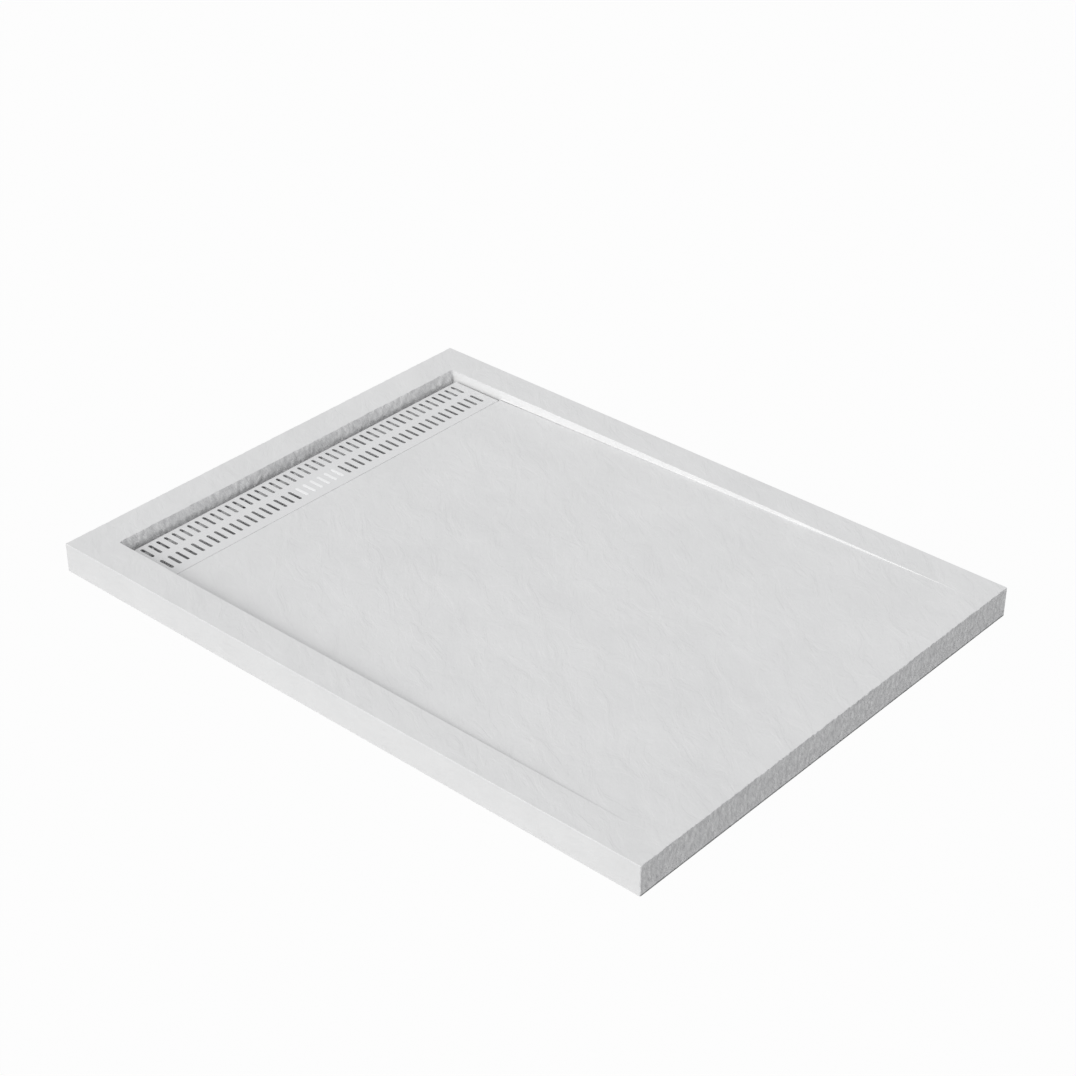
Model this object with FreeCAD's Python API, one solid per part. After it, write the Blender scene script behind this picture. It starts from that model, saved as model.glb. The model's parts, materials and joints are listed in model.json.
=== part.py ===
"""Stone-resin shower tray with a slotted grate over a cross channel and a lift-out waste trap.

Units are millimetres. The origin is the centre of the slab's underside, +X runs from the drain
end to the flush front end, +Y across the tray and +Z up. Every sub-part is one STEP file.
"""

import FreeCAD, Part

import math
import os

V = FreeCAD.Vector
UP = V(0, 0, 1)

# ---------------------------------------------------------------- driving dimensions: the slab
TRAY_LENGTH = 1200.0        # drain end to front end
TRAY_WIDTH = 900.0
TRAY_THICKNESS = 52.0
CORNER_ROUND = 2.0          # upright outer corners
TOP_EDGE_ROUND = 1.0        # outer top edge
RIM_END = 63.0              # rim at the drain end
RIM_SIDE = 60.0             # rims along both long sides
RIM_FRONT = 60.0            # flat band at the front, where the floor has come up to the rim
FLOOR_DROP = 17.0           # rim to the floor's lowest line, at the channel
COVE_RADIUS = 3.0           # side wall into floor, beside the channel
RECESS_EDGE_ROUND = 1.0     # top edge of the recess
RECESS_CORNER_ROUND = 3.0   # upright corners of the recess at the drain end
COVE_LIMIT = 0.9            # most of the wall's height that the cove takes
FEATHER_DEPTH = 0.3         # depth past which a plain feather edge goes on, without coves

# ---------------------------------------------------------------- the channel under the grate
CHANNEL_DEPTH = 23.0        # grate's top to the channel's floor at its middle
CHANNEL_MARGIN = 2.0        # channel wall to the waste's seat
CHANNEL_FALL = 3.0          # from the channel's ends to its flat middle
CHANNEL_FLAT_MARGIN = 4.5   # flat middle beyond the waste's seat
PAD_SEAT_DEPTH = 1.0        # foot seats below the channel's lowest floor
PAD_SEAT_GAP = 0.5          # round a foot pad in its seat

# ---------------------------------------------------------------- the waste's seat in the slab
WASTE_HOLE_RADIUS = 45.0
TOP_SEAT_GAP = 1.5          # round the flange in its seat
TOP_SEAT_DEPTH = 3.0
UNDER_SEAT_GAP = 2.0        # round the trap's rim in its seat
UNDER_SEAT_DEPTH = 1.0

# ---------------------------------------------------------------- the grate
GRATE_THICKNESS = 2.0
GRATE_EDGE_ROUND = 0.4
GRATE_CORNER_ROUND = 2.0
GRATE_FRONT_GAP = 1.0       # joint line against the floor's edge
GRATE_REAR_GAP = 14.0       # finger gap against the drain-end wall
GRATE_END_GAP = 6.0
SLOT_PITCH = 16.557
SLOT_LENGTH = 31.5
SLOT_WIDTH = 6.0
SLOT_END_BORDER = 13.0      # least metal past the last slot
REAR_ROW_INSET = 36.3       # drain-end wall to the rear row's centre line
ROW_SPACING = 47.3
RAIL_THICKNESS = 2.0
RAIL_HEIGHT = 8.0
RAIL_INSET = 2.0            # grate edge to rail
RIB_THICKNESS = 2.0
RIB_HEIGHT = 7.0
FIRST_RIB_BAR = 7           # bars between slots, counted from the middle slot
BARS_PAST_LAST_RIB = 3      # counted from the last slot back
STUD_RADIUS = 3.0
STUD_CLEARANCE = 0.1
FRONT_STUD_INSET = 11.0     # grate's front edge to the stud
REAR_STUD_INSET = 13.0
NUT_FLATS = 10.0
NUT_HEIGHT = 3.0
PAD_RADIUS = 7.0
PAD_HEIGHT = 8.0
PAD_FLOOR = 2.0             # rubber left under the stud
PAD_ROUND = 1.0
INFILL_FIRST = -4           # slots that the infill closes, counted from the middle slot
INFILL_LAST = 1
INFILL_SHEET = 1.5
INFILL_LAP = 2.2            # base beyond the slots
INFILL_CLEARANCE = 0.1
INFILL_STAND = 0.3          # tongues above the grate

# ---------------------------------------------------------------- the flange, its screws and seals
FLANGE_LAP = 11.0           # flange beyond the hole in the slab
FLANGE_SHEET = 1.5
SEAL_THICKNESS = 1.5
DISH_GAP = 2.0              # dish wall to the hole in the slab
DISH_FLOOR_TOP = -6.5       # inside floor of the dish
SCREW_COUNT = 4
SCREW_SHANK = 2.0
SCREW_HOLE_PLAY = 0.6
SCREW_HEAD_RADIUS = 4.25
SCREW_HEAD_HEIGHT = 2.7
SCREW_HEAD_GAP = 0.75       # head to the dish's wall, and to the seal tube's rim
SCREW_LENGTH = 12.0
SCREW_SOCKET_FLATS = 3.0
SCREW_SOCKET_DEPTH = 1.5
INSERT_WALL = 1.4
INSERT_SPARE = 1.0          # insert past the screw's tip
THREAD_PLAY = 0.1           # shank to the insert's bore
INSERT_CLEARANCE = 0.05
GASKET_THICKNESS = 2.0
GASKET_INSET = 1.0          # gasket's edge inside the trap's rim

# ---------------------------------------------------------------- the trap
BODY_RIM_LAP = 13.0         # trap's rim beyond the hole in the slab
BODY_RIM_THICKNESS = 3.0
POT_GAP = 1.0               # dish to the pot's wall
POT_WALL = 2.5
POT_BOTTOM = -94.0
POT_FLOOR = 3.0
POT_ROUND = 8.0
LEDGE_THICKNESS = 3.0
THROAT_WALL = 3.0
THROAT_LENGTH = 16.0
BOSS_WALL = 2.0
BOSS_FLOOR = 2.0            # plastic under an insert

# ---------------------------------------------------------------- the lift-out seal tube
TUBE_WALL = 2.5
TUBE_FLOOR_GAP = 10.0       # tube's lower end to the pot's floor
TUBE_RIM_THICKNESS = 2.0
TUBE_RIM_LAP = 4.5          # tube's rim on the dish's floor
COLLAR_GAP = 0.5            # collar to the throat
COLLAR_SHORT = 2.0          # collar ends this far inside the throat
RING_CORD_RADIUS = 1.35
RING_GAP = 0.3              # O-ring to the throat
RING_GROOVE_PLAY = 0.05

# ---------------------------------------------------------------- the hair strainer
BASKET_GAP = 0.5            # basket to the tube's bore
BASKET_WALL = 1.2
BASKET_DEPTH = 21.5
BASKET_RIM_INSET = 2.5      # strainer's rim inside the tube's rim
BASKET_RIM_THICKNESS = 1.5
BASKET_HOLE_RADIUS = 1.5
BASKET_HOLE_PITCH = 5.5
BASKET_HOLE_BORDER = 1.5    # least floor round the outer holes
BASKET_SLOTS = 16
BASKET_SLOT_WIDTH = 2.0
BASKET_SLOT_HEIGHT = 12.0
GRIP_WIDTH = 3.0
GRIP_HEIGHT = 4.5

# ---------------------------------------------------------------- the cap over the waste
CAP_INSET = 2.0             # cap's edge inside the flange's
CAP_EDGE = 1.5
CAP_CROWN = 2.0             # rise of the dome
CAP_STAND = 5.0             # cap's underside above the flange
CAP_LEGS = 4
CAP_LEG_INSET = 1.0         # leg inside the cap's edge
CAP_LEG_WIDTH = 8.0
CAP_LEG_STEP = 0.5          # leg's tongue to the dish's wall
CAP_TONGUE = 2.5
CAP_LEG_DROP = 7.0          # tongue below the flange's top

# ---------------------------------------------------------------- the outlet
OUTLET_STEP = 1.2           # the trap's outlet bore is this much tighter than the pipe's
SOCKET_WALL = 3.7
SOCKET_REACH = 27.5         # pot's wall to the socket's mouth
SOCKET_DEPTH = 18.0
SOCKET_CLEARANCE = 0.3
PIPE_RADIUS = 20.0
PIPE_WALL = 1.8
SPIGOT_STEP = 0.5           # the end in the socket is this much thinner
PIPE_SHOULDER_GAP = 1.0     # nut's face to where the pipe has its full radius
PIPE_END_INSET = 2.5        # pipe's free end inside the tray's outline
OUTLET_SEAL_LENGTH = 4.0
NUT_WALL = 3.7
NUT_SLEEVE = 20.0
NUT_END_WALL = 3.0
NUT_CLEARANCE = 0.3         # nut over the socket
NUT_PIPE_CLEARANCE = 0.6    # nut round the pipe
NUT_RIBS = 8
NUT_RIB_WIDTH = 4.0
NUT_RIB_HEIGHT = 1.5
NUT_DROP = 5.0              # nut's top below the slab

OPEN_ABOVE = 10.0           # how far the tools that open a space run past the slab
PASS = 1.0                  # how far a drill or cutter runs past a face

# ---------------------------------------------------------------- derived: the slab and the grate
FLANGE_RADIUS = WASTE_HOLE_RADIUS + FLANGE_LAP
TOP_SEAT_RADIUS = FLANGE_RADIUS + TOP_SEAT_GAP
X_REAR_WALL = -TRAY_LENGTH / 2 + RIM_END
X_CHANNEL_FRONT = X_REAR_WALL + 2 * (TOP_SEAT_RADIUS + CHANNEL_MARGIN)
X_FLOOR_END = TRAY_LENGTH / 2 - RIM_FRONT
CHANNEL_FLAT = TOP_SEAT_RADIUS + CHANNEL_FLAT_MARGIN     # half length of the flat middle
HALF_RECESS = TRAY_WIDTH / 2 - RIM_SIDE
GRATE_TOP = TRAY_THICKNESS - FLOOR_DROP
GRATE_UNDER = GRATE_TOP - GRATE_THICKNESS
CHANNEL_FLOOR = GRATE_TOP - CHANNEL_DEPTH
X_GRATE_REAR = X_REAR_WALL + GRATE_REAR_GAP
X_GRATE_FRONT = X_CHANNEL_FRONT - GRATE_FRONT_GAP
HALF_GRATE = HALF_RECESS - GRATE_END_GAP
SLOTS_EACH_SIDE = int((HALF_GRATE - SLOT_END_BORDER - SLOT_WIDTH / 2) / SLOT_PITCH)
LAST_RIB_BAR = SLOTS_EACH_SIDE - BARS_PAST_LAST_RIB
RIB_BARS = (FIRST_RIB_BAR, (FIRST_RIB_BAR + LAST_RIB_BAR) // 2, LAST_RIB_BAR)
STUD_BARS = (FIRST_RIB_BAR + 1, LAST_RIB_BAR + 1)
ROW_X = (X_REAR_WALL + REAR_ROW_INSET, X_REAR_WALL + REAR_ROW_INSET + ROW_SPACING)
STUD_X = (X_GRATE_REAR + REAR_STUD_INSET, X_GRATE_FRONT - FRONT_STUD_INSET)
PAD_BASE = CHANNEL_FLOOR - PAD_SEAT_DEPTH

# ---------------------------------------------------------------- derived: the waste
WASTE = V((X_REAR_WALL + X_CHANNEL_FRONT) / 2, 0, 0)
SEAT_Z = CHANNEL_FLOOR - TOP_SEAT_DEPTH
FLANGE_UNDER = SEAT_Z + SEAL_THICKNESS
FLANGE_TOP = FLANGE_UNDER + FLANGE_SHEET
LEDGE_TOP = DISH_FLOOR_TOP - FLANGE_SHEET
DISH_RADIUS = WASTE_HOLE_RADIUS - DISH_GAP
DISH_INNER = DISH_RADIUS - FLANGE_SHEET
SCREW_CIRCLE = DISH_INNER - SCREW_HEAD_RADIUS - SCREW_HEAD_GAP
INSERT_BORE = SCREW_SHANK + THREAD_PLAY
INSERT_RADIUS = INSERT_BORE + INSERT_WALL
INSERT_BOTTOM = DISH_FLOOR_TOP - SCREW_LENGTH - INSERT_SPARE
BODY_TOP = UNDER_SEAT_DEPTH - GASKET_THICKNESS
BODY_RIM_RADIUS = WASTE_HOLE_RADIUS + BODY_RIM_LAP
POT_INNER = DISH_RADIUS + POT_GAP
POT_RADIUS = POT_INNER + POT_WALL
TUBE_RIM_RADIUS = SCREW_CIRCLE - SCREW_HEAD_RADIUS - SCREW_HEAD_GAP
THROAT_RADIUS = TUBE_RIM_RADIUS - TUBE_RIM_LAP
TUBE_RADIUS = THROAT_RADIUS - RING_GAP - 2 * RING_CORD_RADIUS
TUBE_BORE = TUBE_RADIUS - TUBE_WALL
TUBE_BOTTOM = POT_BOTTOM + POT_FLOOR + TUBE_FLOOR_GAP
TUBE_RIM_TOP = DISH_FLOOR_TOP + TUBE_RIM_THICKNESS
COLLAR_RADIUS = THROAT_RADIUS - COLLAR_GAP
COLLAR_BOTTOM = LEDGE_TOP - THROAT_LENGTH + COLLAR_SHORT
RING_Z = (DISH_FLOOR_TOP + COLLAR_BOTTOM) / 2
BASKET_RADIUS = TUBE_BORE - BASKET_GAP
BASKET_INNER = BASKET_RADIUS - BASKET_WALL
BASKET_HOLE_REACH = BASKET_INNER - BASKET_HOLE_RADIUS - BASKET_HOLE_BORDER
BASKET_HOLE_RINGS = int(BASKET_HOLE_REACH / BASKET_HOLE_PITCH)
CAP_RADIUS = FLANGE_RADIUS - CAP_INSET
CAP_UNDER = FLANGE_TOP + CAP_STAND

# ---------------------------------------------------------------- derived: the outlet
PIPE_BORE = PIPE_RADIUS - PIPE_WALL
SPIGOT_RADIUS = PIPE_RADIUS - SPIGOT_STEP
SOCKET_BORE = SPIGOT_RADIUS + SOCKET_CLEARANCE
SOCKET_RADIUS = SOCKET_BORE + SOCKET_WALL
SOCKET_END = POT_RADIUS + SOCKET_REACH
NUT_BORE = SOCKET_RADIUS + NUT_CLEARANCE
NUT_RADIUS = NUT_BORE + NUT_WALL
OUTLET_Z = -NUT_DROP - NUT_RIB_HEIGHT - NUT_RADIUS
NUT_SEAT = SOCKET_END + OUTLET_SEAL_LENGTH
NUT_END = NUT_SEAT + NUT_END_WALL


def slot_y(index):
    """Centre of a slot across the tray, counted from the middle slot."""
    return index * SLOT_PITCH


def bar_y(index):
    """Centre of the bar just outside a slot; the sign of the index is the side."""
    return math.copysign((abs(index) + 0.5) * SLOT_PITCH, index)


def box(x0, x1, y0, y1, z0, z1):
    return Part.makeBox(x1 - x0, y1 - y0, z1 - z0, V(x0, y0, z0))


def post(radius, z0, z1, x, y):
    return Part.makeCylinder(radius, z1 - z0, V(x, y, z0))


def group(solids):
    return Part.makeCompound(solids)


def prism(points, travel):
    """Solid swept from a closed polygon of vectors."""
    return Part.Face(Part.makePolygon(points + points[:1])).extrude(travel)


def turned(profile):
    """Solid of revolution about Z from a closed (radius, height) outline."""
    points = [V(r, 0, z) for r, z in profile]
    return Part.Face(Part.makePolygon(points + points[:1])).revolve(V(0, 0, 0), UP, 360)


def ring(inner, outer, z0, z1):
    return turned([(inner, z0), (outer, z0), (outer, z1), (inner, z1)])


def at_waste(shape):
    """Moves a shape made about the Z axis to the waste's axis."""
    moved = shape.copy()
    moved.translate(WASTE)
    return moved


def along_outlet(shape):
    """Turns a shape made about +Z onto the outlet's axis, which leaves the waste along -X."""
    moved = shape.copy()
    moved.rotate(V(0, 0, 0), V(0, 1, 0), -90)
    moved.translate(WASTE + V(0, 0, OUTLET_Z))
    return moved


def round_edges(shape, radius, wanted):
    return shape.makeFillet(radius, [e for e in shape.Edges if wanted(e)])


def upright(edge):
    """True for a straight edge along Z."""
    if not isinstance(edge.Curve, Part.Line):
        return False
    return abs(abs(edge.tangentAt(edge.FirstParameter).z) - 1) < 1e-6


def level_at(z):
    """Test for edges that lie wholly at one height."""
    return lambda e: abs(e.BoundBox.ZMin - z) < 1e-4 and abs(e.BoundBox.ZMax - z) < 1e-4


def obround(length, width, z0, z1, x, y):
    """Slot shape with its long axis along X."""
    straight = (length - width) / 2
    middle = box(x - straight, x + straight, y - width / 2, y + width / 2, z0, z1)
    ends = [post(width / 2, z0, z1, x + side * straight, y) for side in (-1, 1)]
    return middle.fuse(ends).removeSplitter()


def recess_section(x, depth):
    """Outline across the recess at one place: rounded edge, upright wall, cove and floor.

    The rounds shrink with the depth, so the walls run out where the floor meets the rim.
    """
    share = depth / FLOOR_DROP
    edge = RECESS_EDGE_ROUND * share
    cove = min(COVE_RADIUS, COVE_LIMIT * (FLOOR_DROP - RECESS_EDGE_ROUND)) * share
    rim = TRAY_THICKNESS
    floor = rim - depth
    slant = math.sqrt(0.5)

    def half(side):
        """Points from above the rim down to the floor on one side, with arcs as three points."""
        wall = side * HALF_RECESS
        return [
            V(x, wall + side * edge, rim + OPEN_ABOVE),
            V(x, wall + side * edge, rim),
            V(x, wall + side * edge * (1 - slant), rim - edge * (1 - slant)),
            V(x, wall, rim - edge),
            V(x, wall, floor + cove),
            V(x, wall - side * cove * (1 - slant), floor + cove * (1 - slant)),
            V(x, wall - side * cove, floor),
        ]

    def edges(p):
        return [
            Part.LineSegment(p[0], p[1]).toShape(),
            Part.Arc(p[1], p[2], p[3]).toShape(),
            Part.LineSegment(p[3], p[4]).toShape(),
            Part.Arc(p[4], p[5], p[6]).toShape(),
        ]

    left = half(-1)
    right = half(1)
    across = [
        Part.LineSegment(left[6], right[6]).toShape(),
        Part.LineSegment(right[0], left[0]).toShape(),
    ]
    return Part.Wire(Part.__sortEdges__(edges(left) + edges(right) + across))


def recess_tool():
    """What the shower floor takes out of the slab, from the channel to the front."""
    run = X_FLOOR_END - X_CHANNEL_FRONT
    x_feather = X_FLOOR_END - run * FEATHER_DEPTH / FLOOR_DROP
    sections = [recess_section(X_CHANNEL_FRONT, FLOOR_DROP), recess_section(x_feather, FEATHER_DEPTH)]
    coved = Part.makeLoft(sections, True, True)
    rim = TRAY_THICKNESS
    feather = prism(
        [
            V(x_feather, -HALF_RECESS, rim - FEATHER_DEPTH),
            V(X_FLOOR_END, -HALF_RECESS, rim),
            V(X_FLOOR_END, -HALF_RECESS, rim + OPEN_ABOVE),
            V(x_feather, -HALF_RECESS, rim + OPEN_ABOVE),
        ],
        V(0, 2 * HALF_RECESS, 0),
    )
    return coved.fuse(feather)


def channel_tool():
    """What the channel takes out: a flat middle round the waste and a fall from both ends."""
    ends = CHANNEL_FLOOR + CHANNEL_FALL
    top = TRAY_THICKNESS + OPEN_ABOVE
    outline = [
        V(X_REAR_WALL, -HALF_RECESS, top),
        V(X_REAR_WALL, -HALF_RECESS, ends),
        V(X_REAR_WALL, -CHANNEL_FLAT, CHANNEL_FLOOR),
        V(X_REAR_WALL, CHANNEL_FLAT, CHANNEL_FLOOR),
        V(X_REAR_WALL, HALF_RECESS, ends),
        V(X_REAR_WALL, HALF_RECESS, top),
    ]
    channel = prism(outline, V(X_CHANNEL_FRONT - X_REAR_WALL, 0, 0))
    rear = [e for e in channel.Edges if upright(e) and abs(e.BoundBox.XMin - X_REAR_WALL) < 1e-4]
    return channel.makeFillet(RECESS_CORNER_ROUND, rear)


def pad_places():
    return [(x, bar_y(side * bar)) for x in STUD_X for bar in STUD_BARS for side in (-1, 1)]


def tray_slab():
    half_length = TRAY_LENGTH / 2
    half_width = TRAY_WIDTH / 2
    slab = box(-half_length, half_length, -half_width, half_width, 0, TRAY_THICKNESS)
    slab = round_edges(slab, CORNER_ROUND, upright)
    slab = round_edges(slab, TOP_EDGE_ROUND, level_at(TRAY_THICKNESS))
    slab = slab.cut(recess_tool().fuse(channel_tool()))
    seats = [
        post(PAD_RADIUS + PAD_SEAT_GAP, PAD_BASE, TRAY_THICKNESS, x, y) for x, y in pad_places()
    ]
    waste = [
        post(WASTE_HOLE_RADIUS, -OPEN_ABOVE, TRAY_THICKNESS, WASTE.x, 0),
        post(TOP_SEAT_RADIUS, SEAT_Z, TRAY_THICKNESS, WASTE.x, 0),
        post(BODY_RIM_RADIUS + UNDER_SEAT_GAP, -OPEN_ABOVE, UNDER_SEAT_DEPTH, WASTE.x, 0),
    ]
    return slab.cut(seats + waste)


def grate_plate():
    plate = box(X_GRATE_REAR, X_GRATE_FRONT, -HALF_GRATE, HALF_GRATE, GRATE_UNDER, GRATE_TOP)
    plate = round_edges(plate, GRATE_CORNER_ROUND, upright)
    plate = round_edges(plate, GRATE_EDGE_ROUND, level_at(GRATE_TOP))
    low = GRATE_UNDER - PASS
    high = GRATE_TOP + PASS
    slots = [
        obround(SLOT_LENGTH, SLOT_WIDTH, low, high, x, slot_y(i))
        for x in ROW_X
        for i in range(-SLOTS_EACH_SIDE, SLOTS_EACH_SIDE + 1)
    ]
    return plate.cut(group(slots))


def rail_faces():
    """Inner faces of the rear and front rails."""
    reach = RAIL_INSET + RAIL_THICKNESS
    return X_GRATE_REAR + reach, X_GRATE_FRONT - reach


def grate_rails():
    rear, front = rail_faces()
    bottom = GRATE_UNDER - RAIL_HEIGHT
    length = HALF_GRATE - RAIL_INSET
    return group([
        box(rear - RAIL_THICKNESS, rear, -length, length, bottom, GRATE_UNDER),
        box(front, front + RAIL_THICKNESS, -length, length, bottom, GRATE_UNDER),
    ])


def grate_ribs():
    rear, front = rail_faces()
    half = RIB_THICKNESS / 2
    places = [bar_y(side * bar) for bar in RIB_BARS for side in (-1, 1)]
    return group([
        box(rear, front, y - half, y + half, GRATE_UNDER - RIB_HEIGHT, GRATE_UNDER) for y in places
    ])


def grate_studs():
    return group([
        post(STUD_RADIUS, PAD_BASE + PAD_FLOOR, GRATE_UNDER, x, y) for x, y in pad_places()
    ])


def hexagon(flats, z0, z1, x, y):
    reach = flats / math.sqrt(3)
    angles = [math.radians(60 * k) for k in range(6)]
    points = [V(x + reach * math.cos(a), y + reach * math.sin(a), z0) for a in angles]
    return prism(points, V(0, 0, z1 - z0))


def stud_nuts():
    z0 = PAD_BASE + PAD_HEIGHT
    z1 = z0 + NUT_HEIGHT
    bore = STUD_RADIUS + STUD_CLEARANCE
    return group([
        hexagon(NUT_FLATS, z0, z1, x, y).cut(post(bore, z0 - PASS, z1 + PASS, x, y))
        for x, y in pad_places()
    ])


def foot_pads():
    def pad(x, y):
        top = PAD_BASE + PAD_HEIGHT
        body = post(PAD_RADIUS, PAD_BASE, top, x, y)
        body = round_edges(body, PAD_ROUND, level_at(top))
        bore = post(STUD_RADIUS + STUD_CLEARANCE, PAD_BASE + PAD_FLOOR, top + PASS, x, y)
        return body.cut(bore)

    return group([pad(x, y) for x, y in pad_places()])


def slot_infill():
    reach_x = SLOT_LENGTH / 2 + INFILL_LAP
    reach_y = SLOT_WIDTH / 2 + INFILL_LAP
    row = ROW_X[1]
    first = slot_y(INFILL_FIRST) - reach_y
    last = slot_y(INFILL_LAST) + reach_y
    base = box(row - reach_x, row + reach_x, first, last, GRATE_UNDER - INFILL_SHEET, GRATE_UNDER)
    tongues = [
        obround(
            SLOT_LENGTH - 2 * INFILL_CLEARANCE,
            SLOT_WIDTH - 2 * INFILL_CLEARANCE,
            GRATE_UNDER - INFILL_SHEET / 2,
            GRATE_TOP + INFILL_STAND,
            row,
            slot_y(i),
        )
        for i in range(INFILL_FIRST, INFILL_LAST + 1)
    ]
    return base.fuse(tongues).removeSplitter()


def screw_places():
    """Screw centres round the waste, half a step off the outlet's direction."""
    step = 2 * math.pi / SCREW_COUNT
    angles = [step * (k + 0.5) for k in range(SCREW_COUNT)]
    return [(SCREW_CIRCLE * math.cos(a), SCREW_CIRCLE * math.sin(a)) for a in angles]


def waste_flange():
    dish = turned([
        (THROAT_RADIUS, LEDGE_TOP),
        (DISH_RADIUS, LEDGE_TOP),
        (DISH_RADIUS, FLANGE_UNDER),
        (FLANGE_RADIUS, FLANGE_UNDER),
        (FLANGE_RADIUS, FLANGE_TOP),
        (DISH_INNER, FLANGE_TOP),
        (DISH_INNER, DISH_FLOOR_TOP),
        (THROAT_RADIUS, DISH_FLOOR_TOP),
    ])
    low = LEDGE_TOP - PASS
    high = DISH_FLOOR_TOP + PASS
    hole = SCREW_SHANK + SCREW_HOLE_PLAY
    return at_waste(dish.cut([post(hole, low, high, x, y) for x, y in screw_places()]))


def flange_seal():
    return at_waste(ring(WASTE_HOLE_RADIUS, FLANGE_RADIUS, SEAT_Z, FLANGE_UNDER))


def flange_screws():
    def screw(x, y):
        top = DISH_FLOOR_TOP + SCREW_HEAD_HEIGHT
        shank = post(SCREW_SHANK, DISH_FLOOR_TOP - SCREW_LENGTH, DISH_FLOOR_TOP, x, y)
        head = post(SCREW_HEAD_RADIUS, DISH_FLOOR_TOP, top, x, y)
        socket = hexagon(SCREW_SOCKET_FLATS, top - SCREW_SOCKET_DEPTH, top + PASS, x, y)
        return shank.fuse(head).cut(socket)

    return at_waste(group([screw(x, y) for x, y in screw_places()]))


def screw_inserts():
    def insert(x, y):
        bore = post(INSERT_BORE, INSERT_BOTTOM - PASS, LEDGE_TOP + PASS, x, y)
        return post(INSERT_RADIUS, INSERT_BOTTOM, LEDGE_TOP, x, y).cut(bore)

    return at_waste(group([insert(x, y) for x, y in screw_places()]))


def body_gasket():
    outer = BODY_RIM_RADIUS - GASKET_INSET
    return at_waste(ring(WASTE_HOLE_RADIUS, outer, BODY_TOP, UNDER_SEAT_DEPTH))


def trap_body():
    throat_outer = THROAT_RADIUS + THROAT_WALL
    pot = turned([
        (BODY_RIM_RADIUS, BODY_TOP),
        (BODY_RIM_RADIUS, BODY_TOP - BODY_RIM_THICKNESS),
        (POT_RADIUS, BODY_TOP - BODY_RIM_THICKNESS),
        (POT_RADIUS, POT_BOTTOM),
        (0, POT_BOTTOM),
        (0, POT_BOTTOM + POT_FLOOR),
        (POT_INNER, POT_BOTTOM + POT_FLOOR),
        (POT_INNER, LEDGE_TOP - LEDGE_THICKNESS),
        (throat_outer, LEDGE_TOP - LEDGE_THICKNESS),
        (throat_outer, LEDGE_TOP - THROAT_LENGTH),
        (THROAT_RADIUS, LEDGE_TOP - THROAT_LENGTH),
        (THROAT_RADIUS, LEDGE_TOP),
        (POT_INNER, LEDGE_TOP),
        (POT_INNER, BODY_TOP),
    ])
    pot = round_edges(pot, POT_ROUND, level_at(POT_BOTTOM))
    pot = round_edges(pot, POT_ROUND - POT_WALL, level_at(POT_BOTTOM + POT_FLOOR))
    boss = INSERT_RADIUS + BOSS_WALL
    boss_bottom = INSERT_BOTTOM - BOSS_FLOOR
    overlap = LEDGE_TOP - LEDGE_THICKNESS / 2
    bosses = [post(boss, boss_bottom, overlap, x, y) for x, y in screw_places()]
    body = at_waste(pot.fuse(bosses))

    def along(radius, start, end):
        return along_outlet(Part.makeCylinder(radius, end - start, V(0, 0, start)))

    between = (throat_outer + POT_INNER) / 2
    socket = along(SOCKET_RADIUS, between, SOCKET_END)
    hollow = at_waste(post(POT_INNER, POT_BOTTOM + POT_ROUND, LEDGE_TOP, 0, 0))
    bore = along(PIPE_BORE - OUTLET_STEP, between, SOCKET_END + PASS)
    mouth = along(SOCKET_BORE, SOCKET_END - SOCKET_DEPTH, SOCKET_END + PASS)
    radius = INSERT_RADIUS + INSERT_CLEARANCE
    top = LEDGE_TOP + PASS
    holes = group([post(radius, INSERT_BOTTOM, top, x, y) for x, y in screw_places()])
    return body.fuse(socket.cut(hollow)).cut([bore, mouth, at_waste(holes)])


def dip_tube():
    groove = RING_CORD_RADIUS + RING_GROOVE_PLAY
    return at_waste(turned([
        (TUBE_BORE, TUBE_RIM_TOP),
        (TUBE_RIM_RADIUS, TUBE_RIM_TOP),
        (TUBE_RIM_RADIUS, DISH_FLOOR_TOP),
        (COLLAR_RADIUS, DISH_FLOOR_TOP),
        (COLLAR_RADIUS, RING_Z + groove),
        (TUBE_RADIUS, RING_Z + groove),
        (TUBE_RADIUS, RING_Z - groove),
        (COLLAR_RADIUS, RING_Z - groove),
        (COLLAR_RADIUS, COLLAR_BOTTOM),
        (TUBE_RADIUS, COLLAR_BOTTOM),
        (TUBE_RADIUS, TUBE_BOTTOM),
        (TUBE_BORE, TUBE_BOTTOM),
    ]))


def dip_tube_o_ring():
    centre = V(0, 0, RING_Z)
    return at_waste(Part.makeTorus(TUBE_RADIUS + RING_CORD_RADIUS, RING_CORD_RADIUS, centre, UP))


def basket_holes():
    """Centres of the basket floor's holes, in rings of six and its multiples."""
    places = [(0.0, 0.0)]
    for k in range(1, BASKET_HOLE_RINGS + 1):
        count = 6 * k
        radius = BASKET_HOLE_PITCH * k
        angles = [2 * math.pi * i / count for i in range(count)]
        places += [(radius * math.cos(a), radius * math.sin(a)) for a in angles]
    return places


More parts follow.
